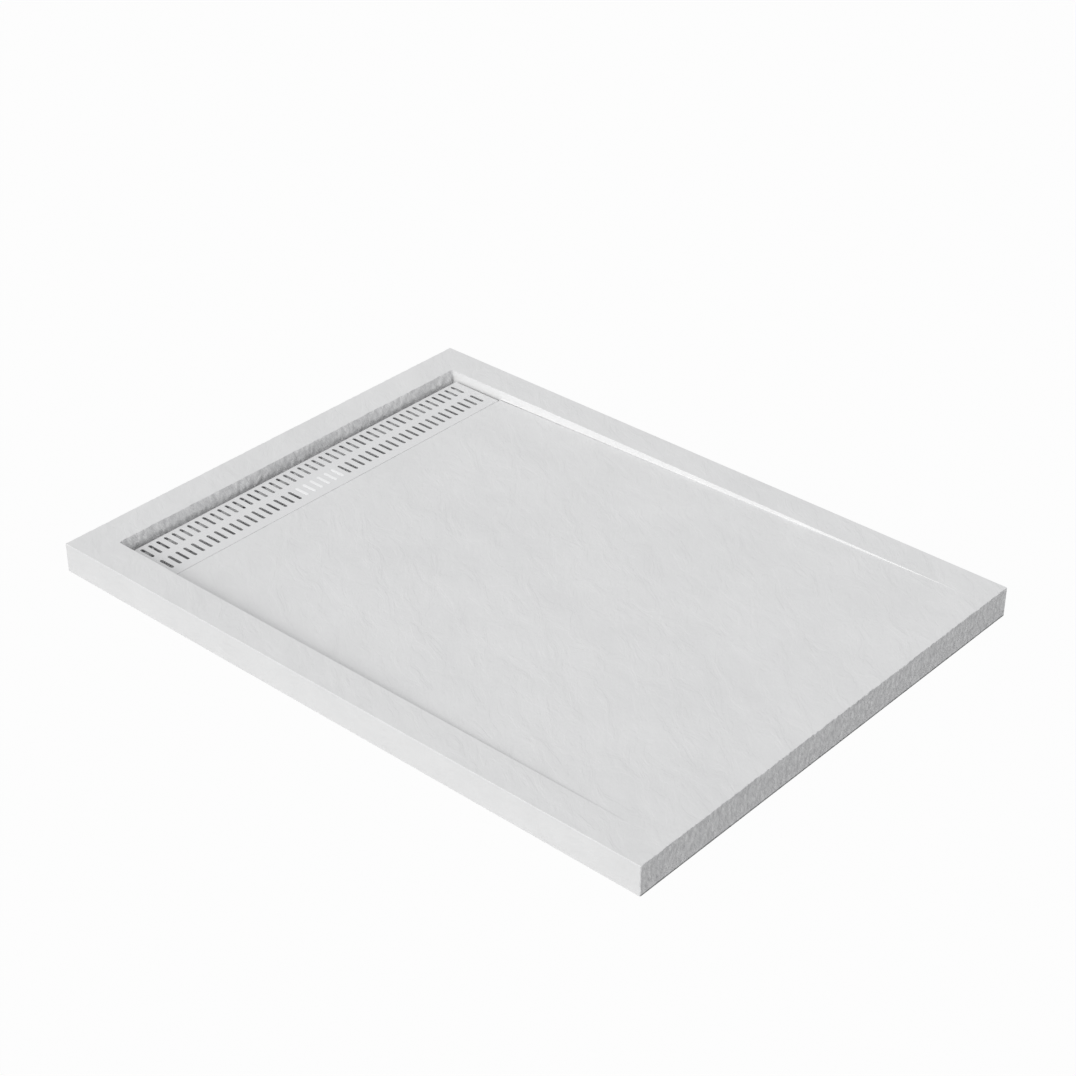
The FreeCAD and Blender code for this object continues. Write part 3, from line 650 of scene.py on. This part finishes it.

# %% [markdown]
# The walls of the slots get a grey finish, which is painted shade: inside the slots they lie
# in shade. The infill that closes six of the slots is plain white plastic, brighter and a
# little glossier. The trap's housing is a moulded plastic with a soft grain from the mould.
# One function makes all three, because they differ only in tone, gloss and depth of grain.

# %% Plain finishes
PLAIN_SPREAD = 0.08         # from the smoothest spot's roughness to the roughest


def plain_finish(name, dark, light, smoothest, grain_height):
    """A plain surface with a fine grain and a slow drift between two shades."""
    material, shader, place = start_material(name)
    grain = cloudy(even(place, 900), detail=2.0, roughness=0.6)
    drift = cloudy(even(place, 30), detail=2.0)
    wire_up(
        shader,
        base_color=blend(drift, dark, light),
        roughness=between(grain, smoothest, smoothest + PLAIN_SPREAD),
        normal=relief(grain, grain_height, strength=0.5),
    )
    return material


# painted shade: the grey that the walls of the slots wear for the shade inside them
painted_slot_shade = plain_finish(
    "painted_slot_shade",
    dark=(0.35, 0.35, 0.355),
    light=(0.40, 0.40, 0.405),
    smoothest=0.5,
    grain_height=0.03 * MM,
)
smooth_white = plain_finish(
    "smooth_white_plastic",
    dark=(0.92, 0.92, 0.92),
    light=(0.95, 0.95, 0.95),
    smoothest=0.28,
    grain_height=0.03 * MM,
)
trap_white = plain_finish(
    "moulded_trap_plastic",
    dark=(0.70, 0.70, 0.68),
    light=(0.76, 0.76, 0.74),
    smoothest=0.42,
    grain_height=0.08 * MM,
)
print("plain finishes:", [finish.name for finish in (painted_slot_shade, smooth_white, trap_white)])

# %% [markdown]
# ## Metals, rubber and grey plastic
#
# Drawn bar and sheet carry fine lines along their length, the pressed dish is polished, and
# the inserts are turned brass. All four metals are one function: what tells them apart is
# their colour, their gloss, and how far the noise of the fine lines is stretched.

# %% Metals
DULLING = 0.86              # the smeared parts of a metal have this share of its brightness
METAL_SPREAD = 0.14         # from the smoothest spot's roughness to the roughest


def metal(name, colour, smoothest, lines_per_metre, line_height):
    """A bare metal with fine lines and a slightly smeared shine."""
    material, shader, place = start_material(name)
    lines = cloudy(stretched(place, lines_per_metre), roughness=0.6)
    smear = cloudy(even(place, 40), detail=2.0)
    dull = tuple(c * DULLING for c in colour)
    wire_up(
        shader,
        base_color=blend(smear, dull, colour),
        metallic=1.0,
        roughness=between(lines, smoothest, smoothest + METAL_SPREAD),
        normal=relief(lines, line_height, strength=0.4),
    )
    return material


drawn_steel = metal(
    "drawn_steel",
    colour=(0.56, 0.56, 0.57),
    smoothest=0.28,
    lines_per_metre=(900, 12, 900),
    line_height=0.03 * MM,
)
turned_steel = metal(
    "turned_steel",
    colour=(0.58, 0.58, 0.59),
    smoothest=0.22,
    lines_per_metre=(60, 60, 1500),
    line_height=0.02 * MM,
)
polished_steel = metal(
    "polished_steel",
    colour=(0.62, 0.62, 0.63),
    smoothest=0.10,
    lines_per_metre=(300, 300, 300),
    line_height=0.01 * MM,
)
turned_brass = metal(
    "turned_brass",
    colour=(0.60, 0.42, 0.16),
    smoothest=0.22,
    lines_per_metre=(60, 60, 1800),
    line_height=0.02 * MM,
)
print("metals:", [finish.name for finish in (drawn_steel, turned_steel, polished_steel, turned_brass)])

# %% [markdown]
# Rubber is nearly black and dull, with a powdery bloom that is lighter and rougher where it
# is thick, so one noise drives colour, roughness and bump. The grey pipe and tube are
# moulded, with a faint flow in their colour.

# %% Rubber and grey plastic
BLOOM_HEIGHT = 0.08 * MM
RUBBER_BLACK = (0.012, 0.012, 0.012)
RUBBER_BLOOM = (0.035, 0.035, 0.036)
MOULD_GRAIN_HEIGHT = 0.06 * MM
PIPE_DARK = (0.135, 0.14, 0.146)
PIPE_LIGHT = (0.17, 0.176, 0.182)


def rubber():
    """Black rubber with a powdery bloom."""
    material, shader, place = start_material("soft_rubber")
    bloom = cloudy(even(place, 220), detail=4.0, roughness=0.6)
    wire_up(
        shader,
        base_color=blend(bloom, RUBBER_BLACK, RUBBER_BLOOM),
        roughness=between(bloom, 0.62, 0.82),
        normal=relief(bloom, BLOOM_HEIGHT, strength=0.5),
    )
    return material


def grey_plastic():
    """Moulded grey plastic with a faint flow in its colour."""
    material, shader, place = start_material("pipe_grey")
    flow = cloudy(stretched(place, (30, 30, 70)), distortion=0.8)
    grain = cloudy(even(place, 800), detail=2.0, roughness=0.6)
    wire_up(
        shader,
        base_color=blend(flow, PIPE_DARK, PIPE_LIGHT),
        roughness=between(grain, 0.38, 0.52),
        normal=relief(grain, MOULD_GRAIN_HEIGHT, strength=0.5),
    )
    return material


black_rubber = rubber()
pipe_grey = grey_plastic()
print("soft and grey finishes:", black_rubber.name, pipe_grey.name)

# %% [markdown]
# ## The slotted cover
#
# The cover is a 2 mm plate with two rows of round-ended slots. Lacquer never covers a sharp
# corner: it draws back from it and leaves a small round. That round catches a thin line of
# light along every slot, so the top edges of the plate's copy are bevelled. A modifier could
# do it too, but it would also round the edges below, which nobody sees. The faces inside the
# slots then get the grey finish that paints the shade inside them.

# %% Rounding the cover's edges
LACQUER_ROUND = 0.35 * MM
NEAR = 0.02 * MM            # points this near to a level lie on it
COVER_MARGIN = 3 * MM       # upright faces further in than this are the walls of the slots
UPRIGHT = 0.3               # the largest Z part of an upright face's normal
KNIFE_EDGE = math.radians(30)


def is_sharp(edge):
    """Whether two faces meet in an edge and turn there by more than KNIFE_EDGE."""
    return len(edge.link_faces) == 2 and edge.calc_face_angle(0) > KNIFE_EDGE


def round_off(made, edges, radius, clamp=False):
    """Bevels some edges of a piece to a round, clamped where its faces are too narrow for it."""
    bmesh.ops.bevel(
        made,
        geom=edges,
        offset=radius,
        segments=2,
        profile=0.5,
        affect="EDGES",
        clamp_overlap=clamp,
        material=-1,
    )


def round_level_edges(made, radius, level):
    """Bevels the sharp edges that lie at one level, and says how many they are."""
    edges = [e for e in made.edges if is_sharp(e) and all(abs(v.co.z - level) < NEAR for v in e.verts)]
    round_off(made, edges, radius)
    return len(edges)


def is_slot_wall(face):
    """Whether a face of the cover stands upright inside one of its slots."""
    inside_y = abs(face.center.y) < plate_high.y - COVER_MARGIN
    inside_x = plate_low.x + COVER_MARGIN < face.center.x < plate_high.x - COVER_MARGIN
    return inside_x and inside_y and abs(face.normal.z) < UPRIGHT


cover = solid_copy("grate_plate")
edge_count = round_level_edges(cover, LACQUER_ROUND, plate_high.z)
cover_piece = add_piece(cover, "slotted_cover", "grate", "white_lacquer", "grate_plate")
cover_piece.data.materials.append(white_lacquer)
cover_piece.data.materials.append(painted_slot_shade)
# the walls of the slots wear the painted shade, the rest of the cover the lacquer
for face in cover_piece.data.polygons:
    face.material_index = 1 if is_slot_wall(face) else 0
smooth_over(cover_piece, angle=50)
print(edge_count, "edges rounded on the cover")

# %% [markdown]
# Six slots of the front row are filled from below by the tongues of one white infill. Its
# moulded top edges get their round in the same way as the cover's, so that both catch the
# light alike.

# %% The infill of six slots
INFILL_ROUND = 0.3 * MM

infill = solid_copy("slot_infill")
infill_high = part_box("slot_infill")[1]
edge_count = round_level_edges(infill, INFILL_ROUND, infill_high.z)
infill_piece = add_piece(infill, "white_infill", "grate", "white_plastic", "slot_infill")
infill_piece.data.materials.append(smooth_white)
smooth_over(infill_piece, angle=50)
print(edge_count, "edges rounded on the infill")

# %% [markdown]
# ## Finishes on the solids
#
# The other solids already have their right shape, so they are shown as they are and only
# need a finish in place of their own. A table gives each of them one. Some of them get softer
# edges in the next step.

# %% Giving each solid its finish
FINISHES = {
    "grate_rails": drawn_steel,
    "grate_ribs": drawn_steel,
    "grate_studs": turned_steel,
    "stud_nuts": turned_steel,
    "flange_screws": turned_steel,
    "foot_pads": black_rubber,
    "flange_seal": black_rubber,
    "body_gasket": black_rubber,
    "outlet_seal": black_rubber,
    "dip_tube_o_ring": black_rubber,
    "waste_flange": polished_steel,
    "screw_inserts": turned_brass,
    "waste_cap": smooth_white,
    "hair_strainer": smooth_white,
    "dip_tube": pipe_grey,
    "outlet_pipe": pipe_grey,
    "trap_body": trap_white,
    "outlet_nut": trap_white,
}
for node, finish in FINISHES.items():
    slots = frame["nodes"][node].data.materials
    slots.clear()
    slots.append(finish)
print(len(FINISHES), "solids finished")

# %% [markdown]
# Moulded, pressed and sawn pieces have no knife edges. A copy of each piece in the table gets
# a small round on its outward edges, which catches a line of light. Inward corners stay
# sharp, so that no piece grows into its neighbour. The copy joins only faces that are truly
# flat together, because the cap's dome is made of faces that meet at less than half a degree.
# The strainer isn't in the table: a round that is clamped to its short edges comes to nothing.
# The trap's housing isn't either, and keeps the solid's own edges.

# %% Rounding outward edges
SOFT_EDGES = {              # the piece's name, and the radius in millimetres
    "grate_rails": ("cover_rails", 0.3),
    "grate_ribs": ("cover_ribs", 0.3),
    "stud_nuts": ("locking_nuts", 0.25),
    "foot_pads": ("rubber_feet", 0.4),
    "waste_cap": ("white_cap", 0.4),
    "waste_flange": ("pressed_flange", 0.25),
    "dip_tube": ("grey_seal_tube", 0.3),
    "outlet_nut": ("union_nut", 0.5),
    "outlet_pipe": ("waste_pipe", 0.4),
}
record = frame["record"]
body_of = {node: body for body, nodes in record["behaviour"]["bodies"].items() for node in nodes}
slot_of = {part["node"]: part["material_slot"] for part in record["subparts"]}


def soften(node, name, radius):
    """A copy of one solid with rounds of `radius` on its outward edges."""
    made = solid_copy(node, flat=0.05)
    edges = [e for e in made.edges if is_sharp(e) and e.is_convex]
    round_off(made, edges, radius, clamp=True)
    piece = add_piece(made, name, body_of[node], slot_of[node], node)
    piece.data.materials.append(FINISHES[node])
    smooth_over(piece)


for node, (name, radius) in SOFT_EDGES.items():
    soften(node, name, radius * MM)
print(len(SOFT_EDGES), "pieces with softened edges")

# %% [markdown]
# ## Floor and light
#
# The tray stands on a plain white floor, with a cut-out below it for the trap, as a real
# floor has. The camera sees the floor and the world behind it as plain white, and so do
# mirrored rays, while the light on the tray stays at its own level. A mix of two shaders does
# it: the light path tells which kind of ray asks.

# %% The floor's material
FLOOR_GREY = (0.43, 0.43, 0.43, 1)
PLAIN_WHITE = (1, 1, 1, 1)
WHITE_SHARE = 0.97          # the rest of the floor is matt, and holds the tray's shadow


def sees_backdrop(start):
    """1 for rays from the camera, off a gloss or through glass, and 0 for the others."""
    kinds = ("Is Camera Ray", "Is Glossy Ray", "Is Transmission Ray")
    straight, glossy, passed = [start.node("ShaderNodeLightPath", {}, {}, kind) for kind in kinds]
    return start.maths("MAXIMUM", straight, start.maths("MAXIMUM", glossy, passed))


def floor_material():
    """White for the rays that see it, with a little of the tray's shadow."""
    material = bpy.data.materials.new("floor_white")
    material.use_nodes = True
    material.node_tree.nodes.clear()
    start = Wire(material.node_tree)
    seen = sees_backdrop(start)
    matt = start.node("ShaderNodeBsdfDiffuse", {}, {"Color": FLOOR_GREY})
    white = start.node("ShaderNodeEmission", {}, {"Color": PLAIN_WHITE, "Strength": 1.0})
    mixed = start.node("ShaderNodeMixShader", {}, {0: seen * WHITE_SHARE, 1: matt, 2: white})
    start.node("ShaderNodeOutputMaterial", {}, {"Surface": mixed})
    return material


floor_white = floor_material()
print("share of plain white in the floor, as the camera sees it:", WHITE_SHARE)

# %% [markdown]
# The floor is one large face. An inset splits it into a border and a middle, and the middle
# takes the size of the hole and goes. The hole's edge stays hidden under the tray.

# %% The floor
FLOOR_REACH = 6.0
BORDER = 1.0                # only splits the face, because the middle's corners move anyway
HOLE_INSET = 2 * MM         # the hole's edge lies this far under the tray
FLOOR_GAP = 0.05 * MM       # keeps the floor's face out of the underside's plane


def make_floor():
    """A wide floor with a hole that is a little smaller than the tray."""
    made = bmesh.new()
    bmesh.ops.create_grid(made, x_segments=1, y_segments=1, size=FLOOR_REACH)
    border = bmesh.ops.inset_region(
        made, faces=made.faces[:], thickness=BORDER, use_boundary=True, use_even_offset=True
    )
    middle = next(f for f in made.faces if f not in border["faces"])
    for corner in middle.verts:
        corner.co.x = math.copysign(slab_high.x - HOLE_INSET, corner.co.x)
        corner.co.y = math.copysign(slab_high.y - HOLE_INSET, corner.co.y)
    bmesh.ops.delete(made, geom=[middle], context="FACES_ONLY")
    bmesh.ops.translate(made, verts=made.verts, vec=(0, 0, -FLOOR_GAP))
    mesh = bpy.data.meshes.new("floor")
    made.to_mesh(mesh)
    made.free()
    floor = bpy.data.objects.new("floor", mesh)
    mesh.materials.append(floor_white)
    bpy.context.scene.collection.objects.link(floor)
    return floor


floor = make_floor()
print("floor with", len(floor.data.polygons), "faces round the tray")

# %% [markdown]
# One broad soft lamp stands to the left of the camera: it lights the long face most and
# leaves the short face in shade. An area lamp would light the near end more than the far
# end. A sun lamp with a wide angle is as soft and lights the whole tray evenly. The rest is
# even light from all round.

# %% Light
SKY_LEVEL = 0.65
SKY_COLOUR = (0.985, 0.99, 1.0, 1)
SUN_STRENGTH = 1.62
SUN_SPREAD = math.radians(38)
TOWARDS_SUN = Vector((0.04, -0.90, 0.44))

world = bpy.data.worlds.new("studio")
bpy.context.scene.world = world
world.use_nodes = True
world.node_tree.nodes.clear()
start = Wire(world.node_tree)
sky = start.node("ShaderNodeBackground", {}, {"Color": SKY_COLOUR, "Strength": SKY_LEVEL})
white = start.node("ShaderNodeBackground", {}, {"Color": PLAIN_WHITE, "Strength": 1.0})
backdrop = start.node("ShaderNodeMixShader", {}, {0: sees_backdrop(start), 1: sky, 2: white})
start.node("ShaderNodeOutputWorld", {}, {"Surface": backdrop})

sun_data = bpy.data.lights.new("soft_lamp", "SUN")
sun_data.energy = SUN_STRENGTH
sun_data.angle = SUN_SPREAD
sun = bpy.data.objects.new("soft_lamp", sun_data)
sun.rotation_mode = "QUATERNION"
sun.rotation_quaternion = (-TOWARDS_SUN).to_track_quat("-Z", "Y")
bpy.context.scene.collection.objects.link(sun)
print("sky level", SKY_LEVEL, "and lamp strength", SUN_STRENGTH)

# %% [markdown]
# ## Staying inside the solids
#
# What was added may not reach out of the solids' own box: flakes and rounds only take
# material away, and the wall leans inside the channel.
